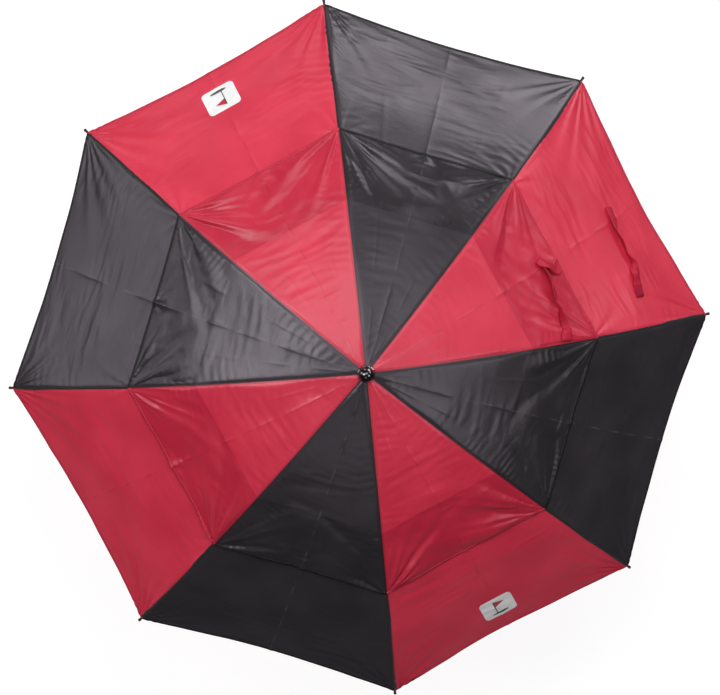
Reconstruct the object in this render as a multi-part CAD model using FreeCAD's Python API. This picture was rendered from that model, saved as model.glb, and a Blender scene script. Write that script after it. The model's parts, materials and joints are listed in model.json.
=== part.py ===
"""Golf umbrella with a vented double canopy, standing open on its handle.

Millimetres. +Z runs up the shaft. The origin is the centre of the handle's flat end.
Rib 1 lies along +X and the ribs are numbered anticlockwise seen from above.
Canopy panel K spans from rib K to rib K+1.
"""
import FreeCAD, Part
import os
from math import acos, asin, atan2, cos, degrees, hypot, radians, sin

V = FreeCAD.Vector
X_AXIS, Y_AXIS, Z_AXIS = V(1, 0, 0), V(0, 1, 0), V(0, 0, 1)

# ---- ribs and canopy, the driving sizes
RIB_COUNT = 8
RIB_STEP = 360.0 / RIB_COUNT
HALF_STEP = radians(RIB_STEP / 2)
HINGE_R = 13.0              # hinge circle of the crown and of the runner
HINGE_Z = 945.0             # height of the rib hinges
RIB_LENGTH = 730.0          # along the rib, from its hinge to the canopy's corner
SLOPE_START = radians(8)    # slope of the rib below the horizontal at the crown
SLOPE_END = radians(42)     # and at the canopy's corner
BEND_R = RIB_LENGTH / (SLOPE_END - SLOPE_START)
LOWER_START = 0.475         # where the lower canopy layer begins, as a share of the open radius
UPPER_END = 0.665           # where the upper canopy layer ends
BRACKET_BACK = 16.0         # the stretcher bracket sits this far inboard of the flex knuckle
PIVOT_DROP = 8.0            # the stretcher pivot is this far below the rib
OUTER_HEM_SAG = 0.018       # how far the outer hem curves in, as a share of its chord
VENT_HEM_SAG = 0.006        # and the hem of the upper layer

# ---- closed position
CLOSED_KNUCKLE_R = 27.0     # distance from the shaft's axis to the flex knuckle, closed
CLOSED_TIP_R = 46.0         # and to the canopy's corner

# ---- rods and sheet
INNER_ROD_R = 2.1
OUTER_ROD_R = 1.7
TIP_CAP_R = 2.4             # moulded cap on the end of each rib
TIP_BALL_R = 3.0
TIP_PRONG = 13.5            # from the canopy's corner to the far side of the cap's ball
TIP_CAP_BACK = 15.0         # the cap starts this far inboard of the corner
BLADE = 2.2                 # thickness of the flat ends that sit in slots
SLOT = 2.8                  # slots in crown and runner
RING_WIRE_R = 0.8
RING_HOLE_R = 1.0
PIN_R = 1.0
PIN_HOLE_R = 1.1
EYE_R = 2.6
FABRIC = 0.6
LOWER_OFFSET = 3.2          # lower layer's underside above the rib's axis
UPPER_OFFSET = 6.0          # upper layer's underside above the rib's axis
SEAM_GAP = 0.3              # each panel stops this far short of its rib's plane
STRAP_THICK = 1.0
STRAP_WIDTH = 20.0

# ---- shaft, crown, ferrule
SHAFT_R = 7.0
BORE_R = 5.8
SHAFT_FOOT = 14.0
SHAFT_TOP = 962.0
CROWN_R = 17.5
CROWN_LOW = 937.0
CROWN_HIGH = 949.6
SLOT_FLOOR_R = 9.8          # slots in crown and runner start here
WASHER_LOW = HINGE_Z + UPPER_OFFSET + FABRIC + 1.2
WASHER_TOP = WASHER_LOW + 2.0
FERRULE_RING_HIGH = 3.6
FERRULE_R = 15.2            # the cap's skirt and its dome
FERRULE_RING_R = 16.5
FERRULE_SKIRT = 3.0
FERRULE_SPIGOT = 24.0

# ---- runner
RUNNER_BORE_R = 7.15
SLEEVE_R = 9.7
RUNNER_FLANGE_R = 17.5
FLANGE_UP = 7.0             # flange above the stretcher pivots
FLANGE_DOWN = 5.0
SLEEVE_DOWN = 42.0          # sleeve below the stretcher pivots
LIP = 6.0                   # closed ring at the sleeve's foot, which the catches hold
KEYWAY = 4.4
KEYWAY_R = 10.2

# ---- spring catches in the shaft
CATCH_AZIMUTH = RIB_STEP / 2
CATCH_THICK = 3.0
CATCH_SLOT = 3.6
CATCH_OUT_R = 9.4
CATCH_ARM = 24.0            # from the catch's shelf to its pin
CATCH_SLOT_LONG = 19.0      # the slot's length below the catch's shelf
CATCH_GAP = 1.3             # between shelf and runner, and between shelf and slot
CATCH_PRESS = 7.0           # degrees

# ---- handle
GRIP_R = 15.0
GRIP_FOOT = 6.0
SPIGOT_TOP = 34.0           # top of the end cap's spigot in the shaft
GRIP_SHOULDER = 170.0
GRIP_TOP = 205.0
COLLAR_TOP = 214.0


def slope_at(s):
    return SLOPE_START + s / BEND_R


def rib_point(s, offset=0.0):
    """A point in the XZ plane at length s along rib 1, offset along its upward normal."""
    a = slope_at(s)
    r = HINGE_R + BEND_R * (sin(a) - sin(SLOPE_START)) + offset * sin(a)
    z = HINGE_Z - BEND_R * (cos(SLOPE_START) - cos(a)) + offset * cos(a)
    return V(r, 0, z)


def length_at_radius(r):
    """Length along the rib at which its axis is r from the shaft's axis."""
    return BEND_R * (asin((r - HINGE_R) / BEND_R + sin(SLOPE_START)) - SLOPE_START)


OPEN_R = rib_point(RIB_LENGTH).x
KNUCKLE_S = length_at_radius(LOWER_START * OPEN_R)
VENT_S = length_at_radius(UPPER_END * OPEN_R)
BRACKET_S = KNUCKLE_S - BRACKET_BACK
HINGE = rib_point(0)
KNUCKLE = rib_point(KNUCKLE_S)
CORNER = rib_point(RIB_LENGTH)
PIVOT = rib_point(BRACKET_S, -PIVOT_DROP)
ARM = hypot(PIVOT.x - HINGE.x, PIVOT.z - HINGE.z)   # crown hinge to pivot, and the stretcher's length


def below_horizontal(a, b):
    """Angle of the line from a to b below the horizontal, radians."""
    return atan2(a.z - b.z, b.x - a.x)


def kinematics():
    """Joint travel from open to closed. Crown arm and stretcher are equally long, so the
    stretcher turns back by exactly twice the rib's angle."""
    inner, outer = (KNUCKLE - HINGE).Length, (CORNER - KNUCKLE).Length
    inner_closed = acos((CLOSED_KNUCKLE_R - HINGE_R) / inner)
    outer_closed = acos((CLOSED_TIP_R - CLOSED_KNUCKLE_R) / outer)
    fold = inner_closed - below_horizontal(HINGE, KNUCKLE)
    flex = outer_closed - below_horizontal(KNUCKLE, CORNER) - fold
    arm_open = below_horizontal(HINGE, PIVOT)
    travel = 2 * ARM * (sin(arm_open + fold) - sin(arm_open))
    return {"fold": fold, "flex": flex, "stretch": -2 * fold, "travel": travel}


MOTION = kinematics()
RUNNER_Z = HINGE_Z - 2 * ARM * sin(below_horizontal(HINGE, PIVOT))   # stretcher pivots, open
RUNNER_FOOT = RUNNER_Z - SLEEVE_DOWN
TOP_SHELF_Z = RUNNER_FOOT - CATCH_GAP
BOTTOM_SHELF_Z = RUNNER_FOOT - MOTION["travel"] + LIP + CATCH_GAP


# ---------------------------------------------------------------- helpers
def turned(shape, degrees_about_z):
    copy = shape.copy()
    copy.rotate(V(0, 0, 0), Z_AXIS, degrees_about_z)
    return copy


def cylinder(r, low, high, x=0.0):
    return Part.makeCylinder(r, high - low, V(x, 0, low), Z_AXIS)


def tube(r_out, r_in, low, high):
    return cylinder(r_out, low, high).cut(cylinder(r_in, low - 1, high + 1))


def cross_pin(centre, r, length):
    """A pin along Y, centred on a point of the XZ plane."""
    return Part.makeCylinder(r, length, V(centre.x, -length / 2, centre.z), Y_AXIS)


def revolved(points):
    """A closed (r, z) outline turned about Z."""
    wire = Part.makePolygon([V(r, 0, z) for r, z in points + points[:1]])
    return Part.Face(wire).revolve(V(0, 0, 0), Z_AXIS, 360)


def plate(points, thickness):
    """A closed (x, z) outline as a plate centred on the XZ plane."""
    wire = Part.makePolygon([V(x, -thickness / 2, z) for x, z in points + points[:1]])
    return Part.Face(wire).extrude(V(0, thickness, 0))


def bent_rod(s0, s1, r):
    """Round rod along the rib's arc."""
    start = rib_point(s0)
    a = slope_at(s0)
    face = Part.Face(Part.Wire(Part.makeCircle(r, start, V(cos(a), 0, -sin(a)))))
    centre = rib_point(s0, -BEND_R)
    return face.revolve(centre, Y_AXIS, degrees((s1 - s0) / BEND_R))


def bent_tube(s0, s1, r_out, r_in):
    return bent_rod(s0, s1, r_out).cut(bent_rod(s0 - 0.5, s1 + 0.5, r_in))


def along_rib(shape, s):
    """Moves a shape built about the origin, +X outboard and +Z up, to length s on the rib."""
    copy = shape.copy()
    copy.rotate(V(0, 0, 0), Y_AXIS, degrees(slope_at(s)))
    copy.translate(rib_point(s))
    return copy


def box(x0, x1, y, z0, z1):
    return Part.makeBox(x1 - x0, y, z1 - z0, V(x0, -y / 2, z0))


def sharing(*shapes):
    return Part.makeCompound(list(shapes))


# ---------------------------------------------------------------- shaft, crown, ferrule
def catch_slot(shelf_z, up):
    """Opening in the shaft's wall for a catch. up is 1 where the shelf is the catch's top."""
    ends = sorted((shelf_z + up * CATCH_GAP, shelf_z - up * CATCH_SLOT_LONG))
    slot = box(0, SHAFT_R + 2, CATCH_SLOT, *ends)
    return turned(slot, CATCH_AZIMUTH)


def shaft_tube():
    shape = tube(SHAFT_R, BORE_R, SHAFT_FOOT, SHAFT_TOP)
    for shelf_z, up in ((TOP_SHELF_Z, 1), (BOTTOM_SHELF_Z, -1)):
        shape = shape.cut(catch_slot(shelf_z, up))
        pin = cross_pin(V(0, 0, shelf_z - up * CATCH_ARM), PIN_R, 4 * SHAFT_R)
        shape = shape.cut(turned(pin, CATCH_AZIMUTH))
    return shape


def slotted(shape, low, high, width=SLOT):
    """Cuts one radial slot for each rib or stretcher."""
    for k in range(RIB_COUNT):
        slot = box(SLOT_FLOOR_R, 3 * HINGE_R, width, low, high)
        shape = shape.cut(turned(slot, k * RIB_STEP))
    return shape


def crown():
    body = revolved([(SHAFT_R, CROWN_LOW - 5), (SLOT_FLOOR_R - 1, CROWN_LOW - 5),
                     (SLOT_FLOOR_R - 0.4, CROWN_LOW), (CROWN_R - 1.5, CROWN_LOW),
                     (CROWN_R, CROWN_LOW + 1.5), (CROWN_R, CROWN_HIGH - 1),
                     (CROWN_R - 1, CROWN_HIGH), (SHAFT_R, CROWN_HIGH)])
    groove = tube(HINGE_R + RING_HOLE_R, HINGE_R - RING_HOLE_R, HINGE_Z - RING_HOLE_R, CROWN_HIGH + 1)
    return slotted(body.cut(groove), CROWN_LOW - 1, CROWN_HIGH + 1)


def crown_ring():
    return Part.makeTorus(HINGE_R, RING_WIRE_R, V(0, 0, HINGE_Z), Z_AXIS)


def canopy_washer():
    """Cupped washer that presses the middle of the canopy on to the crown."""
    low = WASHER_LOW
    return revolved([(SHAFT_R, low), (12.0, low - 0.6), (12.6, low + 0.4), (12.0, low + 1.4),
                     (SHAFT_R, WASHER_TOP)])


def ferrule_ring():
    """Bright collar with a rounded rim under the ferrule cap."""
    low, r = WASHER_TOP, FERRULE_RING_R
    high = low + FERRULE_RING_HIGH
    return revolved([(SHAFT_R, low), (r - 1.2, low), (r - 0.4, low + 0.5), (r, low + 1.4), (r, high - 1.4),
                     (r - 0.4, high - 0.5), (r - 1.2, high), (SHAFT_R, high)])


def ferrule_cap():
    """Domed cap on the shaft's top, with a spigot inside the tube."""
    low = WASHER_TOP + FERRULE_RING_HIGH
    dome_z = low + FERRULE_SKIRT
    skirt = cylinder(FERRULE_R, low, dome_z)
    dome = Part.makeSphere(FERRULE_R, V(0, 0, dome_z), Z_AXIS, 0, 90, 360)
    body = skirt.fuse(dome).cut(cylinder(SHAFT_R, low - 1, SHAFT_TOP))
    spigot = cylinder(BORE_R, SHAFT_TOP - FERRULE_SPIGOT, SHAFT_TOP)
    return body.fuse(spigot).removeSplitter()


def runner_stop():
    """Pressed ring that stops the runner when the umbrella is open."""
    low = RUNNER_Z + FLANGE_UP + 0.4
    return revolved([(SHAFT_R, low), (9.2, low), (9.2, low + 4), (8.4, low + 5), (SHAFT_R, low + 5)])


# ---------------------------------------------------------------- catches
def catch(shelf_z, up):
    """Spring catch: a lever on a cross pin inside the shaft, with its shelf standing out."""
    outline = [(1.5, 0), (CATCH_OUT_R, 0), (CATCH_OUT_R, -1.6), (6.6, -16.5), (3.5, -20),
               (2.4, -24), (-2.4, -24), (-1.2, -14)]
    lever = plate([(x, shelf_z + up * z) for x, z in outline], CATCH_THICK)
    pivot = V(0, 0, shelf_z - up * CATCH_ARM)
    lever = lever.fuse(cross_pin(pivot, 2.4, CATCH_THICK))
    lever = lever.cut(cross_pin(pivot, PIN_HOLE_R, 3 * CATCH_THICK))
    return turned(lever.removeSplitter(), CATCH_AZIMUTH)


def catch_pins():
    pins = []
    for shelf_z, up in ((TOP_SHELF_Z, 1), (BOTTOM_SHELF_Z, -1)):
        pin = cross_pin(V(0, 0, shelf_z - up * CATCH_ARM), PIN_R, 2 * SHAFT_R - 0.4)
        pins.append(turned(pin, CATCH_AZIMUTH))
    return sharing(*pins)


def catch_spring(shelf_z, up):
    """Leaf behind the catch, leaning on the bore's far side."""
    outline = [(-5.2, -10), (-4.7, -10), (-1.9, -3), (0.9, -3.0), (0.9, -2.5), (-2.2, -2.5)]
    leaf = plate([(x, shelf_z + up * z) for x, z in outline], 2.4)
    return turned(leaf, CATCH_AZIMUTH)


# ---------------------------------------------------------------- runner
def runner():
    z = RUNNER_Z
    body = revolved([(RUNNER_BORE_R, RUNNER_FOOT), (SLEEVE_R - 0.8, RUNNER_FOOT),
                     (SLEEVE_R, RUNNER_FOOT + 0.8), (SLEEVE_R, z - FLANGE_DOWN),
                     (RUNNER_FLANGE_R - 1, z - FLANGE_DOWN),
                     (RUNNER_FLANGE_R, z - FLANGE_DOWN + 1), (RUNNER_FLANGE_R, z + FLANGE_UP - 2),
                     (RUNNER_FLANGE_R - 2, z + FLANGE_UP), (RUNNER_BORE_R, z + FLANGE_UP)])
    body = slotted(body, z - FLANGE_DOWN - 1, z + FLANGE_UP + 1)
    seat_w, seat_l = 2 * PIN_HOLE_R + 0.2, 7.2
    for k in range(RIB_COUNT):
        seat = cross_pin(V(HINGE_R, 0, z), seat_w / 2, seat_l)
        way_out = box(HINGE_R - seat_w / 2, HINGE_R + seat_w / 2, seat_l, z - FLANGE_DOWN - 1, z)
        body = body.cut(turned(seat.fuse(way_out), k * RIB_STEP))
    keyway = box(0, KEYWAY_R, KEYWAY, RUNNER_FOOT + LIP, z + FLANGE_UP + 1)
    return body.cut(turned(keyway, CATCH_AZIMUTH))


# ---------------------------------------------------------------- ribs and stretchers
def rib_inner():
    """Rod with its crown eye, stretcher bracket and pins, as separate solids."""
    rod = bent_rod(14, KNUCKLE_S - 8, INNER_ROD_R)
    blade = along_rib(box(-0.1, 12, BLADE, -EYE_R + 0.4, EYE_R - 0.4), 0)
    eye = cross_pin(HINGE, EYE_R, BLADE)
    socket = bent_rod(10, 26, INNER_ROD_R + 0.9)
    end = blade.fuse(eye).fuse(socket).cut(cross_pin(HINGE, RING_HOLE_R, 3 * BLADE))
    end = end.cut(bent_rod(14, 27, INNER_ROD_R)).removeSplitter()
    bracket, pins = rib_bracket()
    return sharing(rod, end, bracket, *pins)


def rib_bracket():
    """Nylon bracket clipped on the rod: ears for the stretcher, cheeks for the flex knuckle."""
    top, wide = 2.2, 8.4
    body = along_rib(box(-9, 5, wide, -4.5, top), BRACKET_S)
    ears = along_rib(box(-4.4, 4.4, wide, -PIVOT_DROP, -4), BRACKET_S)
    ears = ears.fuse(cross_pin(PIVOT, 4.4, wide))
    cheeks = along_rib(box(-13, 0, wide, -top, top), KNUCKLE_S).fuse(cross_pin(KNUCKLE, top, wide))
    gap = SLOT + 0.4
    stretcher_gap = along_rib(box(-7, 20, gap, -3 * PIVOT_DROP, -3.4), BRACKET_S)
    knuckle_gap = along_rib(box(-3.4, 6, gap + 1.2, -4, 4), KNUCKLE_S)
    rod_way = bent_rod(KNUCKLE_S - 60, KNUCKLE_S - 8, INNER_ROD_R)
    body = body.fuse(ears).fuse(cheeks).removeSplitter()
    body = body.cut(stretcher_gap).cut(knuckle_gap).cut(rod_way)
    pivot_pin = cross_pin(PIVOT, PIN_R, wide + 1.2)
    knuckle_pin = cross_pin(KNUCKLE, PIN_R, wide + 0.6)
    return body.cut(pivot_pin).cut(knuckle_pin), [pivot_pin, knuckle_pin]


def rib_outer():
    """Fibreglass end rod with its knuckle and tip, as separate solids."""
    knuckle = cross_pin(KNUCKLE, 2.0, SLOT).fuse(along_rib(box(0, 8, SLOT, -1.6, 1.6), KNUCKLE_S))
    sleeve = bent_rod(KNUCKLE_S + 6, KNUCKLE_S + 22, OUTER_ROD_R + 0.6)
    knuckle = knuckle.fuse(sleeve).cut(cross_pin(KNUCKLE, PIN_HOLE_R, 10))
    knuckle = knuckle.cut(bent_rod(KNUCKLE_S + 9, KNUCKLE_S + 23, OUTER_ROD_R)).removeSplitter()
    rod = bent_rod(KNUCKLE_S + 9, RIB_LENGTH + 3, OUTER_ROD_R)
    return sharing(rod, knuckle, rib_tip())


def rib_tip():
    """Moulded cap on the rod's end, ending in a small ball."""
    ball_at = TIP_PRONG - TIP_BALL_R
    cap = Part.makeCylinder(TIP_CAP_R, TIP_CAP_BACK + ball_at, V(-TIP_CAP_BACK, 0, 0), X_AXIS)
    cap = cap.fuse(Part.makeSphere(TIP_BALL_R, V(ball_at, 0, 0)))
    tip = along_rib(cap, RIB_LENGTH)
    return tip.cut(bent_rod(RIB_LENGTH - 20, RIB_LENGTH + 3, OUTER_ROD_R)).removeSplitter()


def stretcher():
    """Channel from the runner to the bracket, with flat ends and a cross pin at the runner."""
    a = -degrees(below_horizontal(HINGE, PIVOT))
    wide, deep, wall = 5.0, 4.4, 0.8
    channel = box(22, ARM - 22, wide, -deep / 2, deep / 2)
    channel = channel.cut(box(21, ARM - 21, wide - 2 * wall, -deep, deep / 2 - wall))
    low_end = box(0, 30, BLADE, -1.7, 1.4).fuse(cross_pin(V(0, 0, 0), EYE_R, BLADE))
    high_end = box(ARM - 30, ARM, BLADE, -1.7, 1.4).fuse(cross_pin(V(ARM, 0, 0), EYE_R, BLADE))
    body = channel.fuse(low_end).fuse(high_end)
    body = body.cut(cross_pin(V(ARM, 0, 0), PIN_HOLE_R, 10)).removeSplitter()
    trunnion = cross_pin(V(0, 0, 0), PIN_R, 6.8)
    both = sharing(body.cut(trunnion), trunnion)
    both.rotate(V(0, 0, 0), Y_AXIS, a)
    both.translate(V(HINGE_R, 0, RUNNER_Z))
    return both


# ---------------------------------------------------------------- canopy
def rib_arc(s0, s1, offset, azimuth, sideways):
    """The rib's arc at an offset, turned to an azimuth and moved sideways off its plane."""
    points = [rib_point(s, offset) for s in (s0, (s0 + s1) / 2, s1)]
    edge = Part.Arc(*points).toShape()
    edge.translate(V(0, sideways, 0))
    edge.rotate(V(0, 0, 0), Z_AXIS, azimuth)
    return edge


def panel(s0, s1, offset, hem_sag):
    """One panel between rib 1 and rib 2, straight from rib to rib and hemmed with an inward curve."""
    low_a, low_b, high_a, high_b = [
        rib_arc(s0, s1, offset + up, azimuth, side * SEAM_GAP)
        for up in (0, FABRIC) for azimuth, side in ((0, 1), (RIB_STEP, -1))]
    faces = [Part.makeRuledSurface(low_a, low_b), Part.makeRuledSurface(high_a, high_b),
             Part.makeRuledSurface(low_a, high_a), Part.makeRuledSurface(low_b, high_b)]
    for end in (0, -1):
        corners = [e.Vertexes[end].Point for e in (low_a, low_b, high_b, high_a)]
        faces.append(Part.Face(Part.makePolygon(corners + corners[:1])))
    shell = Part.makeShell(faces)
    solid = Part.makeSolid(shell)
    if solid.Volume < 0:
        solid.reverse()
    return solid.cut(hem_cutter(rib_point(s1, offset + FABRIC).x, hem_sag))


def hem_cutter(corner_r, hem_sag):
    """Upright cylinder whose wall is a hem that curves in between two corners."""
    chord = 2 * corner_r * sin(HALF_STEP)
    sag = hem_sag * chord
    r = (chord ** 2 / 4 + sag ** 2) / (2 * sag)
    centre = corner_r * cos(HALF_STEP) - sag + r
    return turned(cylinder(r, 500, 1100, centre), degrees(HALF_STEP))


def strap(s, offset, start, end):
    """Flat tie strap across a panel, from start to end along the panel's width."""
    a = slope_at(s)
    at = rib_point(s, offset)
    shape = Part.makeBox(STRAP_WIDTH, end - start, STRAP_THICK, V(-STRAP_WIDTH / 2, start, 0))
    shape.rotate(V(0, 0, 0), Y_AXIS, degrees(a))
    shape.translate(V(at.x * cos(HALF_STEP), 0, at.z))
    return turned(shape, degrees(HALF_STEP))


# ---------------------------------------------------------------- handle
def handle_grip():
    """Straight foam grip with a tapered shoulder."""
    return revolved([(SHAFT_R, GRIP_FOOT), (GRIP_R, GRIP_FOOT), (GRIP_R, GRIP_SHOULDER), (14.4, 182),
                     (12.8, 194), (11.2, GRIP_TOP), (SHAFT_R, GRIP_TOP)])


def handle_end_cap():
    """Plastic cap that closes the grip, with a spigot inside the tube."""
    return revolved([(0, 0), (11.5, 0), (13.4, 0.8), (14.3, 2.2), (14.6, 4.0), (14.6, GRIP_FOOT),
                     (SHAFT_R, GRIP_FOOT), (SHAFT_R, SHAFT_FOOT), (BORE_R, SHAFT_FOOT),
                     (BORE_R, SPIGOT_TOP), (0, SPIGOT_TOP)])


def handle_collar():
    return revolved([(SHAFT_R, GRIP_TOP), (11.2, GRIP_TOP), (11.6, GRIP_TOP + 1.5), (11.6, COLLAR_TOP - 4),
                     (10.0, COLLAR_TOP), (SHAFT_R, COLLAR_TOP)])


def all_parts():
    made = {
        "shaft_tube": shaft_tube(),
        "crown": crown(),
        "crown_ring": crown_ring(),
        "canopy_washer": canopy_washer(),
        "ferrule_ring": ferrule_ring(),
        "ferrule_cap": ferrule_cap(),
        "runner_stop": runner_stop(),
        "runner": runner(),
        "top_catch": catch(TOP_SHELF_Z, 1),
        "bottom_catch": catch(BOTTOM_SHELF_Z, -1),
        "catch_pins": catch_pins(),
        "top_catch_spring": catch_spring(TOP_SHELF_Z, 1),
        "bottom_catch_spring": catch_spring(BOTTOM_SHELF_Z, -1),
        "handle_grip": handle_grip(),
        "handle_end_cap": handle_end_cap(),
        "handle_collar": handle_collar(),
        "tie_strap_outer": strap(length_at_radius(0.86 * OPEN_R), LOWER_OFFSET + FABRIC + 1, -150, 22),
        "tie_strap_vent": strap(VENT_S - 22, UPPER_OFFSET + FABRIC + 1, -130, 8),
    }
    once = {
        "rib_inner": rib_inner(),
        "rib_outer": rib_outer(),
        "stretcher": stretcher(),
        "upper_panel": panel(-5, VENT_S, UPPER_OFFSET, VENT_HEM_SAG),
        "lower_panel": panel(KNUCKLE_S, RIB_LENGTH, LOWER_OFFSET, OUTER_HEM_SAG),
    }
    for k in range(RIB_COUNT):
        for name, shape in once.items():
            made[f"{name}_{k + 1}"] = turned(shape, k * RIB_STEP)
    return made


def main():
    os.makedirs("parts", exist_ok=True)
    for name, shape in all_parts().items():
        for solid in shape.Solids:
            if not solid.isValid() or solid.Volume <= 0:
                print("bad solid in", name)
        shape.exportStep(f"parts/{name}.step")
    print({k: round(v if k == "travel" else degrees(v), 3) for k, v in MOTION.items()})
    print("open radius", OPEN_R, "arm", ARM, "runner", RUNNER_Z, "corner", CORNER)


if __name__ == "__main__":
    main()
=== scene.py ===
"""Golf umbrella with a vented double canopy: cloth, trim, materials, light and camera.

Metres, in the CAD frame: +Z up the shaft, rib 1 on +X, panel K from rib K to rib K+1.
A point of a panel is given by its length s along the ribs and its share v of the way from
rib K (0) to rib K+1 (1).
"""
import json
from math import cos, pi, radians, sin
import bpy
import numpy as np
from mathutils import Matrix, Vector


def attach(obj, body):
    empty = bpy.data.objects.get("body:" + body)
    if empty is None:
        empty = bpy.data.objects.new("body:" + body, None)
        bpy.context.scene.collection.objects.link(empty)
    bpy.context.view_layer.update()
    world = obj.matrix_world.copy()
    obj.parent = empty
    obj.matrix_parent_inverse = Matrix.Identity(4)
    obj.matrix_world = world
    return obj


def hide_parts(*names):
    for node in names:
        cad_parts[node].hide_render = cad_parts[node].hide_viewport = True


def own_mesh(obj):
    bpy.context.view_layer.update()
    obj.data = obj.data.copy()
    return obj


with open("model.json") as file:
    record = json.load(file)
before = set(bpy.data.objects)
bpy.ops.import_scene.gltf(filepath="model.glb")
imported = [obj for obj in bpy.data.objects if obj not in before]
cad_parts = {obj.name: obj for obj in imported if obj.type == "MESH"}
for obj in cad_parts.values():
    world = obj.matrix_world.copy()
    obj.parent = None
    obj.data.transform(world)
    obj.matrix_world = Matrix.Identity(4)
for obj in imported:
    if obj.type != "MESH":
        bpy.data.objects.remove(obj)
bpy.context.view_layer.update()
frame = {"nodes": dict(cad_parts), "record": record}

# ---------------------------------------------------------------- sizes shared with the CAD
RIBS = 8
STEP = 2 * pi / RIBS
HALF = STEP / 2
HINGE_R, HINGE_Z = 0.013, 0.945
RIB_LENGTH = 0.730
SLOPE_START, SLOPE_END = radians(8), radians(42)
BEND_R = RIB_LENGTH / (SLOPE_END - SLOPE_START)
LOWER_START, UPPER_END = 0.475, 0.665   # as shares of the open canopy's radius: knuckles, vent corners

# ---------------------------------------------------------------- cloth sizes
LOWER_LIFT = 0.0040         # cloth above the rib's axis, lower layer
UPPER_LIFT = 0.0054         # upper layer
LOWER_DIP = 0.007           # how far a panel dips between its ribs at the hem
UPPER_DIP = 0.006
OUTER_SAG = 0.012           # how far a hem curves in, as a share of its chord, beside that dip
VENT_SAG = 0.004
CROWN_S = -0.005            # the middle piece starts here, under the crown cap
TUCK = 0.046                # and runs this far past the knuckles, under the vent flap
TUCK_DROP = 0.0008          # how far under the flap it passes there
LAP = 0.0015                # the flap starts this far before the knuckles
LAYER_GAP = 0.0018          # least gap between the upper layer and the lower one
HEM_WIDTH = 0.005
HEM_THICK = 0.0003
HEM_TURN = 0.0004           # the hem's fold stands this far past the cloth's edge
SEAM_HALF = 0.0042          # half the width of a seam's allowance
SEAM_THICK = 0.0005
THREAD_R = 0.0005
THREAD_PITCH = 0.0011
TIE_LIFT = 0.0004           # a thread wrap's middle above the rib's axis
STRAP_THICK = 0.0005        # half the strap's thickness
COLUMNS = 119               # of the cloth's mesh, across a panel
PATCH = (0.067, 0.058)
PATCH_CORNER = 0.008
PATCH_R = 0.556             # the patch's middle from the axis, at rest
PATCH_LIFT, PICTURE_LIFT, FLAG_LIFT = 0.0007, 0.0012, 0.0013

RED_PANELS = (1, 3, 5, 7)
STRAP_PANEL = 1
PATCH_PANELS = (3, 7)


# ---------------------------------------------------------------- rib and panel geometry
def rib_rz(s, lift=0.0):
    a = SLOPE_START + s / BEND_R
    r = HINGE_R + BEND_R * (np.sin(a) - sin(SLOPE_START)) + lift * np.sin(a)
    z = HINGE_Z - BEND_R * (cos(SLOPE_START) - np.cos(a)) + lift * np.cos(a)
    return r, z


def length_at_radius(r):
    return BEND_R * (np.arcsin((r - HINGE_R) / BEND_R + sin(SLOPE_START)) - SLOPE_START)


OPEN_R = float(rib_rz(RIB_LENGTH)[0])
KNUCKLE_S = float(length_at_radius(LOWER_START * OPEN_R))
VENT_S = float(length_at_radius(UPPER_END * OPEN_R))


def hem_length(corner_s, v, sag_share):
    """Length along the ribs at which the hem that starts at corner_s crosses share v."""
    r = rib_rz(corner_s)[0]
    sag = sag_share * 2 * r * sin(HALF) * 4 * v * (1 - v)
    return length_at_radius(r - sag / cos(HALF))


def panel_width(s):
    return 2 * rib_rz(s)[0] * sin(HALF)


def panel_point(k, s, v, lift):
    """Points of panel k, lift above the rib's axis along the panel's normal."""
    a0 = (k - 1) * STEP
    mid = a0 + HALF
    r, z = rib_rz(s)
    x = r * ((1 - v) * cos(a0) + v * cos(a0 + STEP))
    y = r * ((1 - v) * sin(a0) + v * sin(a0 + STEP))
    a = SLOPE_START + s / BEND_R
    flat, up = np.sin(a), np.cos(a) * cos(HALF)
    n = np.sqrt(flat ** 2 + up ** 2)
    share = lift / n
    # at a rib the two panels' cloth meets in the rib's own plane
    at_rib = (2 * np.abs(v - 0.5)) ** 8
    turn = (v - 0.5) * STEP * at_rib
    return np.stack([x + share * flat * np.cos(mid + turn), y + share * flat * np.sin(mid + turn),
                     z + share * up], axis=-1)


# ---------------------------------------------------------------- noise and wrinkles
def perlin(x, y, seed):
    """Smooth noise, about -1 to 1, the same on each run: its seed is given."""
    xi, yi = np.floor(x).astype(np.int64), np.floor(y).astype(np.int64)
    xf, yf = x - xi, y - yi

    def corner(i, j):
        h = ((xi + i) * 374761393 + (yi + j) * 668265263 + seed * 69069) & 0xFFFFFFFF
        h = ((h ^ (h >> 13)) * 1274126177) & 0xFFFFFFFF
        a = (h ^ (h >> 16)) / 2 ** 32 * 2 * pi
        return np.cos(a) * (xf - i) + np.sin(a) * (yf - j)

    u, w = xf * xf * xf * (xf * (xf * 6 - 15) + 10), yf * yf * yf * (yf * (yf * 6 - 15) + 10)
    low = corner(0, 0) * (1 - u) + corner(1, 0) * u
    high = corner(0, 1) * (1 - u) + corner(1, 1) * u
    return 1.5 * (low * (1 - w) + high * w)


def ridged(x, y, seed):
    """Noise with sharp crests, about -1 to 1, like creased cloth."""
    return 1 - 2.4 * np.sqrt(perlin(x, y, seed) ** 2 + 0.0009)


def smooth(x, low, high):
    t = np.clip((x - low) / (high - low), 0, 1)
    return t * t * (3 - 2 * t)


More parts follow.
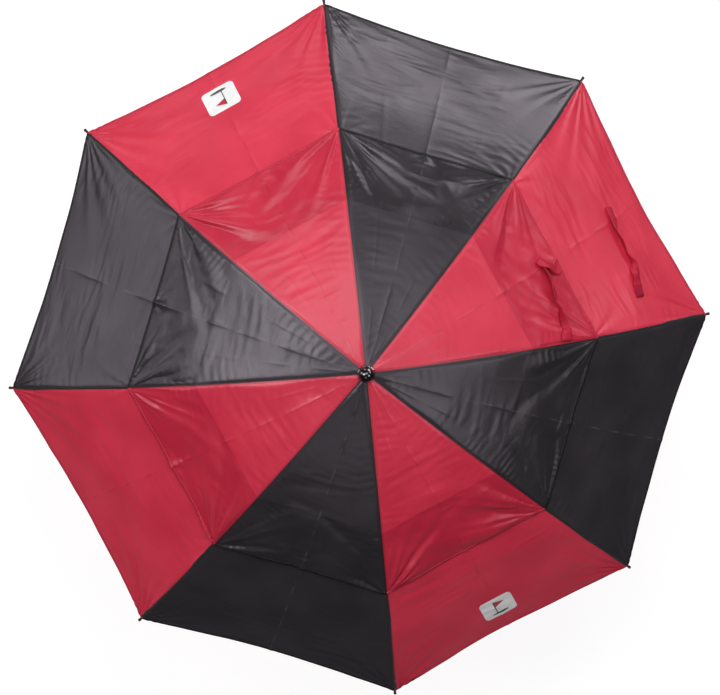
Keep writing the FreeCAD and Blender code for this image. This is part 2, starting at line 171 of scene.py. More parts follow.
def fan(across, along, folds, seed, reach, rise=0.02):
    """Folds that spread from a pulled point. across and along are distances from it, reach is how
    far they run, and rise is how far from the point they reach full height."""
    rho = np.hypot(across, along) + 1e-9
    theta = np.arctan2(along, across)
    wander = 0.5 * perlin(theta * 3 + 9, rho * 9, seed + 3)
    wave = np.sin(folds * theta + wander * 3 + seed)
    strength = 0.65 + 0.5 * perlin(theta * folds / 4, rho * 3, seed + 7)
    return wave * strength * smooth(rho, 0, rise) * np.exp(-(rho / reach) ** 1.4)


def corner_ridges(edge, back, seed):
    """Short sharp ridges that run from a rib inwards, slanted away from a corner back along it."""
    beat = np.sin(2 * pi * (back - 0.8 * edge) / 0.0105 + 1.8 * perlin(back * 26, edge * 18, seed))
    gate = smooth(perlin(back * 20, edge * 9, seed + 5), -0.40, 0.20)
    return beat * gate * smooth(edge, 0, 0.007) * np.exp(-edge / 0.022) * np.exp(-back / 0.085)


def rib_pulls(edge, s, spacing, seed):
    """Short tucks, spacing apart, that run from a rib's seam into the panel stretched over it."""
    beat = np.sin(2 * pi * (s - 0.45 * edge) / spacing + 2.2 * perlin(s * 16, edge * 12, seed))
    gate = smooth(perlin(s * 13, edge * 6, seed + 9), -0.25, 0.35)
    return beat * gate * smooth(edge, 0, 0.006) * np.exp(-edge / 0.030)


def hem_waves(w, s, seed):
    """Shallow folds that lie roughly along the hem."""
    drift = 0.012 * perlin(w / 0.15, s / 0.12, seed)
    waves = ridged(w / 0.17, (s + drift) / 0.026, seed + 1) + 0.45 * ridged(w / 0.07, s / 0.013, seed + 2)
    return waves * smooth(perlin(w / 0.13, s / 0.09, seed + 3), -0.45, 0.35)


def press_lines(w, width, s, seed):
    """Faint straight creases from the crown, where the cloth was folded when it was packed."""
    rise = np.zeros_like(w)
    for share in (-0.25, 0.25):
        kept = smooth(perlin(s * 11, share * 9, seed), -0.2, 0.3)
        rise += kept * np.exp(-np.abs(w - share * width) / 0.0028)
    return rise


def relief(k, red, black):
    """A height in metres. The red cloth creases more sharply than the black."""
    return red if k in RED_PANELS else black


def halves(v):
    """0 on the side of the panel's first rib, 1 on the side of its second."""
    return np.where(v > 0.5, 1, 0)


# In the shapes below a term's first number, or its pair of numbers, is a height in metres.
def lower_shape(k, s, v):
    """Height of the lower layer above the rib's axis."""
    width = panel_width(s)
    w = (v - 0.5) * width
    edge = (0.5 - np.abs(v - 0.5)) * width
    dip = LOWER_DIP * (width / panel_width(RIB_LENGTH)) ** 1.5 * 4 * v * (1 - v)
    rise = np.zeros_like(w)
    for end in (0, 1):
        across = np.abs(v - end) * width
        seed = 11 * k + end
        rise += relief(k, 0.0024, 0.0012) * fan(across, RIB_LENGTH - s, 17, seed, reach=0.100)
        rise += relief(k, 0.0010, 0.0006) * fan(across, np.abs(s - VENT_S) + 0.01, 13, seed + 31, reach=0.075)
    rise += relief(k, 0.00185, 0.00120) * corner_ridges(edge, np.abs(RIB_LENGTH - s), 3 * k + halves(v) + 200)
    rise += relief(k, 0.00070, 0.00045) * rib_pulls(edge, s, 0.0170, k + halves(v) * 40 + 50)
    rise += relief(k, 0.00110, 0.00065) * hem_waves(w, s, k + 90) * smooth(edge, 0.0, 0.05)
    rise += relief(k, 0.0030, 0.0020) * perlin(w / 0.16, s / 0.11, k + 110)
    rise += 0.0010 * np.exp(-np.abs(w) / 0.0035) * smooth(perlin(s * 12, w, k + 120), -0.3, 0.3)
    rise += 0.00045 * press_lines(w, width, s, k + 125)
    seam = 0.0012 * np.exp(-(edge / 0.004) ** 2)
    window = 1 - np.exp(-(edge / 0.007) ** 2)
    return LOWER_LIFT - dip - seam + rise * window


def pinch_pleat(w, hem, seed):
    """The hem's middle is caught down by a tether: a small pleat with short folds running off it."""
    rho = np.hypot(w, hem)
    theta = np.arctan2(hem, w)
    spokes = 0.0013 * np.sin(6 * theta + seed) * smooth(rho, 0.002, 0.012) * np.exp(-rho / 0.026)
    ridge = 0.0034 * np.exp(-(w / 0.0045) ** 2) * np.exp(-np.clip(hem, 0, 1) / 0.016)
    step = 0.0016 * np.exp(-((hem - 0.024) / 0.0045) ** 2) * np.exp(-(w / 0.014) ** 2)
    return spokes + ridge + step


def upper_shape(k, s, v):
    """Height of the upper layer above the rib's axis: taut inside, loose on the vent flap."""
    width = panel_width(s)
    w = (v - 0.5) * width
    edge = (0.5 - np.abs(v - 0.5)) * width
    dip = UPPER_DIP * (width / panel_width(VENT_S)) ** 1.5 * 4 * v * (1 - v)
    hem = hem_length(VENT_S, v, VENT_SAG) - s
    loose = smooth(s, KNUCKLE_S - 0.030, KNUCKLE_S + 0.045)
    rise = np.zeros_like(w)
    for end in (0, 1):
        across = np.abs(v - end) * width
        seed = 17 * k + end
        rise += (loose * relief(k, 0.0070, 0.0046)
                 * fan(across, VENT_S - s, 8, seed + 5, reach=0.150, rise=0.03))
        rise += loose * relief(k, 0.0026, 0.0014) * fan(across, VENT_S - s, 21, seed + 15, reach=0.100)
    crumple = ridged(w / 0.080 + 2.2 * s, s / 0.055, k + 130) + 0.5 * ridged(w / 0.03, s / 0.026, k + 140)
    rise += loose * relief(k, 0.0008, 0.0005) * crumple
    rise += loose * relief(k, 0.0030, 0.0016) * perlin(w / 0.09, s / 0.10, k + 150)
    rise += 0.0045 * loose * 4 * v * (1 - v)
    rise += pinch_pleat(w, hem, k)
    puckers = np.sin(2 * pi * w / 0.0115 + 3 * perlin(w * 20, v, k))
    rise += (0.0008 * puckers * np.exp(-np.clip(hem, 0, 1) / 0.010)
             * smooth(perlin(w * 14, v, k + 8), -0.4, 0.2))
    taut = 1 - loose
    rise += taut * relief(k, 0.00080, 0.00030) * hem_waves(w, s, k + 160) * smooth(edge, 0, 0.03)
    rise += taut * 0.0015 * perlin(w / 0.10, s / 0.13, k + 170) * smooth(s, 0.03, 0.12)
    rise += (0.0007 * np.exp(-np.abs(w) / 0.0030) * smooth(s, 0.02, 0.06)
             * smooth(perlin(s * 13, w, k + 175), -0.4, 0.2))
    rise += 0.00050 * press_lines(w, width, s, k + 178) * smooth(s, 0.05, 0.12)
    rise += relief(k, 0.00055, 0.00050) * rib_pulls(edge, s, 0.0125, k + halves(v) * 40 + 180)
    seam = 0.0010 * np.exp(-(edge / 0.0035) ** 2)
    window = 1 - np.exp(-(edge / 0.006) ** 2)
    height = UPPER_LIFT - dip - seam + rise * window
    return np.maximum(height, lower_shape(k, s, v) + LAYER_GAP)


def tucked_shape(k, s, v):
    """The upper layer's middle piece, which passes just under the vent flap beyond the knuckles."""
    return upper_shape(k, s, v) - TUCK_DROP * smooth(s, KNUCKLE_S - LAP, KNUCKLE_S + 2 * LAP)


# ---------------------------------------------------------------- mesh building
def new_piece(name, points, faces, material, shaded=True):
    mesh = bpy.data.meshes.new(name)
    mesh.from_pydata([tuple(p) for p in points], [], faces)
    mesh.validate()
    mesh.update()
    if shaded:
        mesh.polygons.foreach_set("use_smooth", [True] * len(mesh.polygons))
    mesh.materials.append(material)
    obj = bpy.data.objects.new(name, mesh)
    bpy.context.collection.objects.link(obj)
    return obj


def grid_faces(rows, cols, closed=False):
    """Quads of a grid of points stored row by row. closed joins the last row to the first."""
    faces = []
    last = rows if closed else rows - 1
    for i in range(last):
        a, b = i * cols, ((i + 1) % rows) * cols
        faces += [(a + j, a + j + 1, b + j + 1, b + j) for j in range(cols - 1)]
    return faces


def store(obj, name, values):
    """A number per point, which the cloth's material reads."""
    attribute = obj.data.attributes.new(name, "FLOAT", "POINT")
    attribute.data.foreach_set("value", np.asarray(values, np.float32).ravel())


def shares():
    """Columns across a panel, closer beside the ribs and at the middle crease."""
    even = np.linspace(0, 1, COLUMNS)
    crowded = even - 0.55 * np.sin(2 * pi * even) / (2 * pi)
    extra = np.array([0.494, 0.5, 0.506])
    return np.unique(np.round(np.concatenate([crowded, extra]), 5))


def cloth(name, k, s_from, s_to, rows, shape, material):
    """One layer of panel k between two lines, each given as a function of v."""
    v = shares()
    t = np.linspace(0, 1, rows)[:, None]
    s = s_from(v)[None, :] * (1 - t) + s_to(v)[None, :] * t
    vv = np.broadcast_to(v[None, :], s.shape)
    points = panel_point(k, s, vv, shape(k, s, vv)).reshape(-1, 3)
    obj = new_piece(name, points, grid_faces(rows, len(v)), material)
    width = panel_width(s)
    store(obj, "across", (vv - 0.5) * width)
    store(obj, "along", s)
    store(obj, "rib_gap", (0.5 - np.abs(vv - 0.5)) * width)
    store(obj, "hem_gap", s_to(v)[None, :] - s)
    uv = obj.data.uv_layers.new(name="cloth")
    flat = np.stack([(vv - 0.5) * width, s], axis=-1).reshape(-1, 2)
    index = np.empty(len(obj.data.loops), np.int64)
    obj.data.loops.foreach_get("vertex_index", index)
    uv.data.foreach_set("uv", flat[index].astype(np.float32).ravel())
    return obj


def fold_away(obj, body):
    """The piece rides with its panel, on a mesh of its own."""
    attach(obj, body)
    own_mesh(obj)


def at(length):
    return lambda v: np.full_like(v, length)


def hem_at(corner_s, sag):
    return lambda v: hem_length(corner_s, v, sag)


def hem_band(name, k, corner_s, sag, shape, material):
    """The folded hem: a flat tube round the cloth's edge."""
    v = shares()
    outer = hem_length(corner_s, v, sag) + HEM_TURN
    inner = outer - HEM_WIDTH
    rows = []
    for s, up in ((inner, 0.3), (inner, 1), ((inner + outer) / 2, 1), (outer, 1), (outer, -1),
                  ((inner + outer) / 2, -1), (inner, -1), (inner, -0.3)):
        rows.append(panel_point(k, s, v, shape(k, np.minimum(s, outer - HEM_TURN), v) + up * HEM_THICK))
    points = np.concatenate(rows)
    return new_piece(name, points, grid_faces(len(rows), len(v), closed=True), material)


def seam_strip(name, k, s0, s1, lift, material, rows):
    """The sewn allowance under a seam: a narrow strip over rib k, bent to the two panels."""
    a0 = (k - 1) * STEP
    s = np.linspace(s0, s1, rows)
    slope = SLOPE_START + s / BEND_R
    points = []
    for side, up in ((-1, 0), (-0.5, 0), (0, 0), (0.5, 0), (1, 0),
                     (1, 1), (0.5, 1), (0, 1), (-0.5, 1), (-1, 1)):
        y = side * SEAM_HALF * (1 + 0.06 * np.sin(s * 190 + k))
        drop = np.abs(y) * np.tan(HALF) * np.sin(slope)
        r, z = rib_rz(s, lift - drop - SEAM_THICK * (1 - up))
        points.append(np.stack([r * cos(a0) - y * sin(a0), r * sin(a0) + y * cos(a0), z], axis=-1))
    return new_piece(name, np.concatenate(points), grid_faces(len(points), rows, closed=True), material)


def rib_ties(name, k, lengths, radius, material):
    """Thread wraps that hold the cloth to rib k."""
    a0 = (k - 1) * STEP
    points, faces = [], []
    turns, around, tube = 4, 14, 6
    for s0 in lengths:
        for turn in range(turns):
            s = s0 + (turn - (turns - 1) / 2) * THREAD_PITCH
            r, z = rib_rz(np.array(s), TIE_LIFT)
            slope = SLOPE_START + s / BEND_R
            along = np.array([cos(slope) * cos(a0), cos(slope) * sin(a0), -sin(slope)])
            up = np.array([sin(slope) * cos(a0), sin(slope) * sin(a0), cos(slope)])
            side = np.array([-sin(a0), cos(a0), 0])
            centre = np.array([r * cos(a0), r * sin(a0), z])
            start = len(points)
            for i in range(around):
                p = 2 * pi * i / around
                out = cos(p) * side + sin(p) * up
                for j in range(tube):
                    q = 2 * pi * j / tube
                    points.append(centre + out * (radius + THREAD_R * cos(q)) + along * THREAD_R * sin(q))
            for i in range(around):
                for j in range(tube):
                    a, b = start + i * tube, start + (i + 1) % around * tube
                    faces.append((a + j, a + (j + 1) % tube, b + (j + 1) % tube, b + j))
    return new_piece(name, points, faces, material)


def catmull(points, count):
    """A smooth run of count points through rows of numbers."""
    p = np.array(points, float)
    p = np.vstack([2 * p[0] - p[1], p, 2 * p[-1] - p[-2]])
    out = []
    for t in np.linspace(0, len(p) - 3 - 1e-9, count):
        i = int(t)
        u = t - i
        a, b, c, d = p[i:i + 4]
        out.append(0.5 * (2 * b + (c - a) * u + (2 * a - 5 * b + 4 * c - d) * u ** 2
                          + (3 * b - a - 3 * c + d) * u ** 3))
    return np.array(out)


def cloth_point(k, s, v, shape):
    """A point of the cloth, and the unit vector out of it there."""
    here = panel_point(k, np.array([s]), np.array([v]), shape(k, np.array([s]), np.array([v])))[0]
    mid = (k - 1) * STEP + HALF
    across = np.array([-sin(mid), cos(mid), 0])
    a = SLOPE_START + s / BEND_R
    along = np.array([cos(mid) * cos(a) * cos(HALF), sin(mid) * cos(a) * cos(HALF), -sin(a)])
    along /= np.linalg.norm(along)
    return here, np.cross(along, across)


def ribbon(name, k, rows, shape, material, count=70):
    """A strap lying on panel k. Each row: across, along, height, half width, twist in degrees."""
    run = catmull(rows, count)
    centres = []
    frames = []
    for across, s, height, half, twist in run:
        v = 0.5 + across / float(panel_width(s))
        here, n = cloth_point(k, s, v, shape)
        centres.append(here + n * height)
        frames.append((n, half, radians(twist)))
    centres = np.array(centres)
    tangents = np.gradient(centres, axis=0)
    tangents /= np.linalg.norm(tangents, axis=1)[:, None]
    points = []
    section = ((-1, 1), (-0.33, 1.15), (0.33, 1.15), (1, 1), (1, -1), (0.33, -0.85), (-0.33, -0.85), (-1, -1))
    for c, t, (n, half, twist) in zip(centres, tangents, frames):
        side = np.cross(t, n)
        side /= np.linalg.norm(side)
        up = np.cross(side, t)
        flat = cos(twist) * side + sin(twist) * up
        face = np.cross(flat, t)
        for across, out in section:
            points.append(c + flat * half * across + face * STRAP_THICK * out)
    ring = len(section)
    faces = []
    for i in range(count - 1):
        a, b = i * ring, (i + 1) * ring
        faces += [(a + j, a + (j + 1) % ring, b + (j + 1) % ring, b + j) for j in range(ring)]
    faces.append(tuple(range(ring - 1, -1, -1)))
    faces.append(tuple(range((count - 1) * ring, count * ring)))
    return new_piece(name, points, faces, material)


def on_panel(k, across, s, shape, lift):
    """Points lift above a panel's cloth, at distances across its middle line and along the ribs."""
    v = 0.5 + across / panel_width(s)
    return panel_point(k, s, v, shape(k, s, v) + lift)


def flat_print(name, k, centre_s, outline, lift, material, rings=7, centre=(0.0, 0.0)):
    """A printed shape on the cloth. The outline is a list of (across, towards the crown), star-shaped."""
    outline = np.array(outline)
    n = len(outline)
    grown = [np.array([centre])]
    for i in range(1, rings + 1):
        grown.append(np.array(centre) + (outline - np.array(centre)) * i / rings)
    flat = np.vstack(grown)
    points = on_panel(k, flat[:, 0], centre_s - flat[:, 1], lower_shape, lift)
    faces = [(0, 1 + j, 1 + (j + 1) % n) for j in range(n)]
    for i in range(rings - 1):
        a, b = 1 + i * n, 1 + (i + 1) * n
        faces += [(a + j, b + j, b + (j + 1) % n, a + (j + 1) % n) for j in range(n)]
    return new_piece(name, points, faces, material)


def side_points(p, q, steps):
    return [(p[0] + (q[0] - p[0]) * i / steps, p[1] + (q[1] - p[1]) * i / steps) for i in range(steps)]


def rounded_rectangle(width, height, radius, per_corner=8, per_side=8):
    points = []
    for cx, cy, start in ((1, 1, 0), (-1, 1, 90), (-1, -1, 180), (1, -1, 270)):
        for i in range(per_corner + 1):
            a = radians(start + 90 * i / per_corner)
            points.append((cx * (width / 2 - radius) + radius * cos(a),
                           cy * (height / 2 - radius) + radius * sin(a)))
    filled = []
    for p, q in zip(points, points[1:] + points[:1]):
        steps = per_side if np.hypot(p[0] - q[0], p[1] - q[1]) > 3 * radius / per_corner else 1
        filled += side_points(p, q, steps)
    return filled


def polygon(points, per_side=6):
    out = []
    for p, q in zip(points, points[1:] + points[:1]):
        out += side_points(p, q, per_side)
    return out


# ---------------------------------------------------------------- materials
class Nodes:
    """Short calls for building a material's nodes."""

    def __init__(self, name):
        self.material = bpy.data.materials.new(name)
        self.material.use_nodes = True
        self.tree = self.material.node_tree
        self.tree.nodes.clear()
        self.out = self.tree.nodes.new("ShaderNodeOutputMaterial")

    def add(self, kind, inputs=None, **settings):
        node = self.tree.nodes.new(kind)
        for key, value in settings.items():
            setattr(node, key, value)
        for key, value in (inputs or {}).items():
            self.set(node.inputs[key], value)
        return node

    def set(self, socket, value):
        if isinstance(value, bpy.types.NodeSocket):
            self.tree.links.new(value, socket)
        else:
            socket.default_value = value

    def attribute(self, name):
        return self.add("ShaderNodeAttribute", attribute_name=name).outputs["Fac"]

    def math(self, operation, a, b=0.0):
        return self.add("ShaderNodeMath", {0: a, 1: b}, operation=operation).outputs[0]

    def ramp(self, value, low, high, to_low=0.0, to_high=1.0):
        return self.add("ShaderNodeMapRange", {"Value": value, "From Min": low, "From Max": high,
                                               "To Min": to_low, "To Max": to_high},
                        interpolation_type="SMOOTHSTEP").outputs[0]

    def noise(self, scale, detail=3.0, rough=0.55, vector=None, distortion=0.0):
        inputs = {"Scale": scale, "Detail": detail, "Roughness": rough, "Distortion": distortion}
        if vector is not None:
            inputs["Vector"] = vector
        return self.add("ShaderNodeTexNoise", inputs).outputs["Fac"]

    def mix(self, fac, a, b):
        node = self.add("ShaderNodeMix", data_type="RGBA", clamp_factor=True)
        self.set(node.inputs[0], fac)
        self.set(node.inputs[6], a)
        self.set(node.inputs[7], b)
        return node.outputs[2]

    def bump(self, height, strength, distance, normal=None):
        inputs = {"Height": height, "Strength": strength, "Distance": distance}
        if normal is not None:
            inputs["Normal"] = normal
        return self.add("ShaderNodeBump", inputs).outputs["Normal"]

    def finish(self, shader):
        self.tree.links.new(shader, self.out.inputs["Surface"])
        return self.material


def rgb(r, g, b):
    return (r, g, b, 1.0)


def object_space(n, scale=(1, 1, 1)):
    coords = n.add("ShaderNodeTexCoord").outputs["Object"]
    return n.add("ShaderNodeMapping", {"Vector": coords, "Scale": scale}).outputs["Vector"]


STITCHES = 330.0                  # per metre
STITCH_SPACE = 0.35               # between two stitches, as a share of their pitch
HEM_STITCH, RIB_STITCH = 0.0062, 0.0030     # rows of stitches from the hem's and the panel's edge
WEAVE = 480.0                     # scale of the wave textures


def stitch_row(n, run, gap, distance):
    """Dashes along run, at a distance from an edge that is gap away."""
    dash = n.math("GREATER_THAN", n.math("FRACT", n.math("MULTIPLY", run, STITCHES)), STITCH_SPACE)
    near = n.ramp(n.math("ABSOLUTE", n.math("SUBTRACT", gap, distance)), 0.0002, 0.0005, 1.0, 0.0)
    return n.math("MULTIPLY", dash, near)


def canopy_cloth(name, base, shade, crease_painted_light, thread, specular, tint, see_through, gloss):
    """Thin woven polyester: base and shade are its lighter and darker mottling, gloss is its roughness."""
    n = Nodes(name)
    across, along = n.attribute("across"), n.attribute("along")
    rib_gap, hem_gap = n.attribute("rib_gap"), n.attribute("hem_gap")
    flat = n.add("ShaderNodeCombineXYZ", {0: across, 1: along, 2: 0.0}).outputs[0]
    broad = n.noise(7.0, 3, 0.5, flat)
    colour = n.mix(n.ramp(broad, 0.32, 0.68), shade, base)
    fine = n.noise(90.0, 4, 0.6, flat)
    colour = n.mix(n.ramp(fine, 0.35, 0.75, 0.0, 0.16), colour, shade)
    # the pressed crease down the middle of the panel, with painted light along it: a painted highlight on the
    # black cloth and painted shade on the red
    off_crease = n.math("ABSOLUTE", across)
    line = n.ramp(off_crease, 0.0006, 0.0022, 1.0, 0.0)
    broken = n.ramp(n.noise(30.0, 2, 0.6, flat), 0.42, 0.66, 0.0, 0.45)
    colour = n.mix(n.math("MULTIPLY", line, broken), colour, crease_painted_light)
    # stitching beside the ribs and along the hem
    stitches = n.math("MAXIMUM", stitch_row(n, across, hem_gap, HEM_STITCH),
                      stitch_row(n, along, rib_gap, RIB_STITCH))
    colour = n.mix(n.math("MULTIPLY", stitches, 0.8), colour, thread)
    in_seam = n.ramp(rib_gap, 0.0004, 0.0024, 0.85, 0.0)
    colour = n.mix(in_seam, colour, thread)
    # weave, then small wrinkles
    threads = {"Vector": flat, "Scale": WEAVE, "Distortion": 0.6, "Detail": 1.0}
    warp, weft = [n.add("ShaderNodeTexWave", threads, wave_type="BANDS", bands_direction=way).outputs["Fac"]
                  for way in "XY"]
    normal = n.bump(n.math("MULTIPLY", warp, weft), 0.25, 0.00008)
    slant = n.add("ShaderNodeMapping", {"Vector": flat, "Rotation": (0, 0, 0.5),
                                        "Scale": (26.0, 75.0, 1.0)}).outputs[0]
    creases = n.math("ABSOLUTE", n.math("SUBTRACT", n.noise(1.0, 4, 0.55, slant, 0.8), 0.5))
    normal = n.bump(creases, 0.35, 0.0011, normal)
    normal = n.bump(stitches, 0.5, 0.0003, normal)
    rough = n.ramp(broad, 0.25, 0.75, gloss - 0.05, gloss + 0.06)
    top = n.add("ShaderNodeBsdfPrincipled", {"Base Color": colour, "Roughness": rough, "Normal": normal,
                                             "Specular IOR Level": specular, "Specular Tint": tint,
                                             "Sheen Weight": 0.06, "Sheen Roughness": 0.4})
    through = n.add("ShaderNodeBsdfTranslucent", {"Color": colour, "Normal": normal})
    mixed = n.add("ShaderNodeMixShader", {0: see_through, 1: top.outputs[0], 2: through.outputs[0]})
    return n.finish(mixed.outputs[0])


def plain_cloth(name, base, shade, rough=0.6, weave_scale=900.0, sheen=0.15, specular=0.4):
    """Doubled or taped cloth for hems, seams, straps and prints."""
    n = Nodes(name)
    space = object_space(n)
    broad = n.noise(38.0, 4, 0.6, space)
    colour = n.mix(n.ramp(broad, 0.3, 0.7), shade, base)
    fine = n.noise(weave_scale, 2, 0.5, space)
    colour = n.mix(n.ramp(fine, 0.3, 0.8, 0.0, 0.35), colour, shade)
    normal = n.bump(fine, 0.4, 0.0003)
    normal = n.bump(n.noise(160.0, 3, 0.6, space), 0.35, 0.0008, normal)
    shader = n.add("ShaderNodeBsdfPrincipled", {"Base Color": colour, "Normal": normal, "Roughness": rough,
                                                "Sheen Weight": sheen, "Specular IOR Level": specular})
    return n.finish(shader.outputs[0])


WORN = rgb(0.32, 0.32, 0.33)
WORN_EDGE = rgb(0.30, 0.30, 0.31)


def hard(name, base, shade, rough, grain, spread=0.06, depth=0.0002, metallic=0.0, coat=0.0,
         scratches=0.0, stretch=(1, 1, 1)):
    """Plastic, paint, rubber or metal with grain, mottling and a little wear. The roughness varies
    by spread, and depth is that of the grain in metres."""
    n = Nodes(name)
    space = object_space(n, stretch)
    broad = n.noise(24.0, 4, 0.6, space)
    colour = n.mix(n.ramp(broad, 0.35, 0.7), shade, base)
    fine = n.noise(grain, 4, 0.6, space)
    normal = n.bump(fine, 0.35, depth)
    if scratches:
        lines = n.noise(90.0, 3, 0.7, object_space(n, (14, 14, 1)), 0.3)
        worn = n.ramp(lines, 0.62, 0.70, 0.0, scratches)
        colour = n.mix(worn, colour, WORN)
    edge = n.add("ShaderNodeNewGeometry").outputs["Pointiness"]
    colour = n.mix(n.ramp(edge, 0.52, 0.60, 0.0, 0.25), colour, WORN_EDGE)
    roughness = n.ramp(fine, 0.3, 0.7, max(0.03, rough - spread), rough + spread)
    shader = n.add("ShaderNodeBsdfPrincipled", {"Base Color": colour, "Normal": normal,
                                                "Roughness": roughness, "Metallic": metallic,
                                                "Coat Weight": coat, "Coat Roughness": 0.05})
    return n.finish(shader.outputs[0])


# lighter copies where one layer lies alone; darker copies where the vent's two layers lie over each other,
# their darker colour painted shade for the light from below that the lower layer blocks
# each crease colour is painted light along a panel's middle crease: a painted highlight on the black cloth,
# painted shade on the red
RED_LIGHT = dict(base=rgb(0.71, 0.031, 0.072), shade=rgb(0.61, 0.023, 0.057),
                 crease_painted_light=rgb(0.36, 0.014, 0.034), thread=rgb(0.20, 0.008, 0.020),
                 specular=1.0, tint=rgb(1, 0.93, 0.97))
RED_DOUBLE_SHADED = dict(base=rgb(0.60, 0.022, 0.056), shade=rgb(0.50, 0.016, 0.045),
                crease_painted_light=rgb(0.28, 0.009, 0.024), thread=rgb(0.20, 0.008, 0.020),
                specular=0.70, tint=rgb(1, 0.93, 0.97))
BLACK_LIGHT = dict(base=rgb(0.030, 0.026, 0.031), shade=rgb(0.021, 0.018, 0.022),
                   crease_painted_light=rgb(0.10, 0.096, 0.10), thread=rgb(0.006, 0.006, 0.006),
                   specular=0.95, tint=rgb(1, 0.90, 1))
BLACK_DOUBLE_SHADED = dict(base=rgb(0.028, 0.025, 0.029), shade=rgb(0.019, 0.017, 0.020),
                  crease_painted_light=rgb(0.08, 0.077, 0.08), thread=rgb(0.006, 0.006, 0.006),
                  specular=0.62, tint=rgb(1, 0.90, 1))
cloth_materials = {
    ("red", "single"): canopy_cloth("red_single_layer", see_through=0.09, gloss=0.37, **RED_LIGHT),
    ("red", "double"): canopy_cloth("red_double_layer", see_through=0.05, gloss=0.33, **RED_DOUBLE_SHADED),
    ("black", "single"): canopy_cloth("black_single_layer", see_through=0.04, gloss=0.33, **BLACK_LIGHT),
    ("black", "double"): canopy_cloth("black_double_layer", see_through=0.02, gloss=0.30, **BLACK_DOUBLE_SHADED),
}
# the hems are coloured darker than the one-layer cloth: painted shade for the light from below that the
# folded cloth blocks
hem_materials = {
    "red": plain_cloth("red_hem", rgb(0.56, 0.020, 0.052), rgb(0.48, 0.015, 0.042),
                       rough=0.45, sheen=0.0, specular=0.5),
    "black": plain_cloth("black_hem", rgb(0.012, 0.011, 0.013), rgb(0.008, 0.007, 0.009),
                         rough=0.5, sheen=0.0),
}
seam_tape = plain_cloth("seam_tape", rgb(0.016, 0.015, 0.017), rgb(0.009, 0.009, 0.010))
strap_cloth = plain_cloth("strap_cloth", rgb(0.52, 0.016, 0.046), rgb(0.40, 0.011, 0.034),
                          rough=0.5, sheen=0.0, specular=0.25)
strap_pad = plain_cloth("strap_pad", rgb(0.36, 0.011, 0.034), rgb(0.22, 0.006, 0.020),
                        rough=0.85, weave_scale=1400.0, sheen=0.0, specular=0.2)
thread_material = plain_cloth("black_thread", rgb(0.02, 0.02, 0.021), rgb(0.01, 0.01, 0.011), rough=0.7)
print_white = plain_cloth("printed_white", rgb(0.86, 0.85, 0.85), rgb(0.78, 0.77, 0.77), rough=0.5)
print_dark = plain_cloth("printed_dark", rgb(0.10, 0.095, 0.10), rgb(0.06, 0.058, 0.06), rough=0.5)
print_red = plain_cloth("printed_red", rgb(0.55, 0.03, 0.06), rgb(0.45, 0.02, 0.05), rough=0.5)

hard_materials = {
    "fibreglass": hard("fibreglass", rgb(0.018, 0.018, 0.020), rgb(0.010, 0.010, 0.011),
                       rough=0.32, grain=420.0),
    "shaft_paint": hard("shaft_paint", rgb(0.016, 0.016, 0.018), rgb(0.010, 0.010, 0.012),
                        rough=0.20, spread=0.04, grain=600.0, depth=0.00005, coat=0.5, scratches=0.25),
    "nylon": hard("nylon", rgb(0.026, 0.026, 0.028), rgb(0.016, 0.016, 0.017), rough=0.48, grain=700.0),
    "ferrule_gloss": hard("ferrule_gloss", rgb(0.13, 0.125, 0.13), rgb(0.10, 0.096, 0.10),
                          rough=0.06, spread=0.02, grain=500.0, depth=0.00001, metallic=1.0, coat=1.0),
    "bright_ring": hard("bright_ring", rgb(0.55, 0.53, 0.54), rgb(0.42, 0.40, 0.41),
                        rough=0.12, spread=0.04, grain=900.0, depth=0.00003, metallic=1.0),
    "steel": hard("steel", rgb(0.58, 0.58, 0.60), rgb(0.42, 0.42, 0.44),
                  rough=0.30, spread=0.08, grain=800.0, depth=0.00006, metallic=1.0, stretch=(1, 1, 8)),
    "grip_foam": hard("grip_foam", rgb(0.020, 0.020, 0.021), rgb(0.011, 0.011, 0.012),
                      rough=0.86, spread=0.08, grain=1500.0, depth=0.0006),
}

# ---------------------------------------------------------------- CAD nodes keep their shape
for subpart in frame["record"]["subparts"]:
    finish = hard_materials.get(subpart["material_slot"])
    if finish:
        mesh = frame["nodes"][subpart["node"]].data
        mesh.materials.clear()
        mesh.materials.append(finish)

